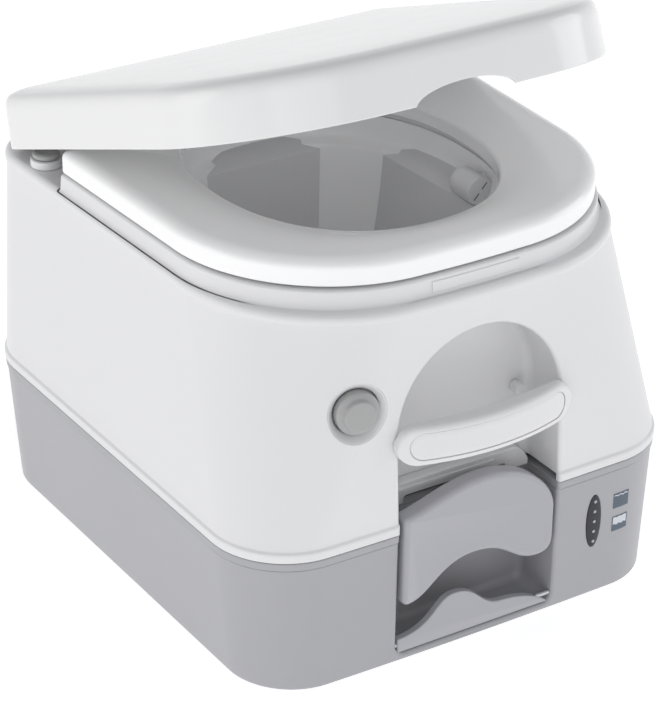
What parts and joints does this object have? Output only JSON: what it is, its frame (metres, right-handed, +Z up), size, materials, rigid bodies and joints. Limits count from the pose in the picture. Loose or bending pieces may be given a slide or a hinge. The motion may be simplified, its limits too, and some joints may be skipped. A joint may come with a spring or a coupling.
{
  "type": "portable camp toilet",
  "caption": "Portable camp toilet: grey waste tank with a pull valve, white fresh-water unit above with bowl, seat, open lid, press button, hand pump and carrying handle.",
  "frame": {"origin": "centre of the holding tank's flat underside, on the floor", "axes": "+Z up, +X to the right of someone facing the front, front towards -Y"},
  "size_m": [0.38, 0.4502, 0.4552],
  "materials": {
    "grey_tank": "satin blow-moulded polyethylene",
    "grey_controls": "fine satin moulded",
    "dark_plastic": "satin moulded",
    "gauge_lens": "smooth lens",
    "white_shell": "satin gloss moulded",
    "white_gloss": "high gloss moulded",
    "white_fittings": "satin moulded",
    "rubber": "matt",
    "steel": "drawn stainless"
  },
  "bodies": {
    "holding_tank": {"tank_shell": "grey_tank", "tank_top": "grey_tank", "level_gauge": "gauge_lens", "valve_frame": "grey_tank", "tank_handle_pin_left": "steel", "tank_handle_pin_right": "steel", "spout_neck": "grey_tank", "vent_cup": "grey_tank", "vent_spring": "steel", "latch_bracket": "grey_tank", "latch_pin": "steel", "throat_seal": "rubber"},
    "gate_valve": {"valve_blade": "dark_plastic", "valve_stem": "dark_plastic", "valve_pull": "grey_controls"},
    "tank_handle": {"tank_handle": "grey_controls"},
    "spout_seal": {"spout_seal": "rubber"},
    "spout_cap": {"spout_cap": "dark_plastic"},
    "vent_button": {"vent_button": "dark_plastic"},
    "rear_latch": {"rear_latch": "grey_tank"},
    "upper_unit": {"upper_housing": "white_shell", "carry_handle": "white_shell", "handle_inlay": "white_shell", "niche_ledge": "white_shell", "niche_plug": "white_shell", "deck": "white_shell", "deck_clip": "white_shell", "bowl": "white_gloss", "spray_nozzle": "white_fittings", "nozzle_nut": "grey_controls", "button_cup": "white_shell", "button_spring": "steel", "flush_valve": "grey_controls", "flush_tube": "rubber", "pump_barrel": "white_fittings", "pump_collar": "white_fittings", "filler_neck": "white_fittings", "hinge_block_left": "white_gloss", "hinge_block_right": "white_gloss", "hinge_pin_left": "steel", "hinge_pin_right": "steel"},
    "flush_button": {"flush_button": "grey_controls", "button_stem": "grey_controls"},
    "pump_plunger": {"pump_knob": "grey_controls", "pump_rod": "steel", "pump_piston": "rubber"},
    "filler_seal": {"filler_seal": "rubber"},
    "filler_cap": {"filler_cap": "grey_controls"},
    "seat": {"seat": "white_gloss", "seat_pad_left": "rubber", "seat_pad_right": "rubber"},
    "lid": {"lid": "white_gloss", "lid_pad_left": "rubber", "lid_pad_right": "rubber"}
  },
  "joints": [
    {"name": "upper_lift_off", "type": "slide", "parent": "holding_tank", "child": "upper_unit", "axis": [0, 0, 1], "range_m": [0, 0.15]},
    {"name": "gate_valve_pull", "type": "slide", "parent": "holding_tank", "child": "gate_valve", "axis": [0, -1, 0], "range_m": [0, 0.095]},
    {"name": "tank_handle_fold", "type": "hinge", "parent": "holding_tank", "child": "tank_handle", "pos_m": [0, -0.2074, 0.0121], "axis": [1, 0, 0], "range_deg": [0, 90]},
    {"name": "spout_cap_pull", "type": "slide", "parent": "holding_tank", "child": "spout_seal", "axis": [0, 1, 0], "range_m": [0, 0.03]},
    {"name": "spout_cap_turn", "type": "hinge", "parent": "spout_seal", "child": "spout_cap", "pos_m": [-0.1, 0.2, 0.0555], "axis": [0, 1, 0], "range_deg": [0, 90]},
    {"name": "vent_button_press", "type": "slide", "parent": "holding_tank", "child": "vent_button", "axis": [0, 0, -1], "range_m": [0, 0.004], "stiffness_N_per_m": 300, "springref_m": -0.002, "deforming": ["vent_spring"]},
    {"name": "rear_latch_hinge", "type": "hinge", "parent": "holding_tank", "child": "rear_latch", "pos_m": [0, 0.2154, 0.0715], "axis": [-1, 0, 0], "range_deg": [0, 60]},
    {"name": "flush_button_press", "type": "slide", "parent": "upper_unit", "child": "flush_button", "axis": [0.2247, 0.9731, -0.0507], "range_m": [0, 0.006], "stiffness_N_per_m": 600, "springref_m": -0.003, "deforming": ["button_spring"]},
    {"name": "pump_stroke", "type": "slide", "parent": "upper_unit", "child": "pump_plunger", "axis": [0, 0, 1], "range_m": [0, 0.03]},
    {"name": "filler_cap_lift", "type": "slide", "parent": "upper_unit", "child": "filler_seal", "axis": [0, 0, 1], "range_m": [0, 0.018]},
    {"name": "filler_cap_turn", "type": "hinge", "parent": "filler_seal", "child": "filler_cap", "pos_m": [0.15, 0.137, 0.2925], "axis": [0, 0, 1], "range_deg": [0, 90]},
    {"name": "seat_hinge", "type": "hinge", "parent": "upper_unit", "child": "seat", "pos_m": [0, 0.1738, 0.2911], "axis": [-1, 0, 0], "range_deg": [0, 72]},
    {"name": "lid_hinge", "type": "hinge", "parent": "seat", "child": "lid", "pos_m": [0, 0.1738, 0.2911], "axis": [1, 0, 0], "range_deg": [-72, 20.7]}
  ]
}
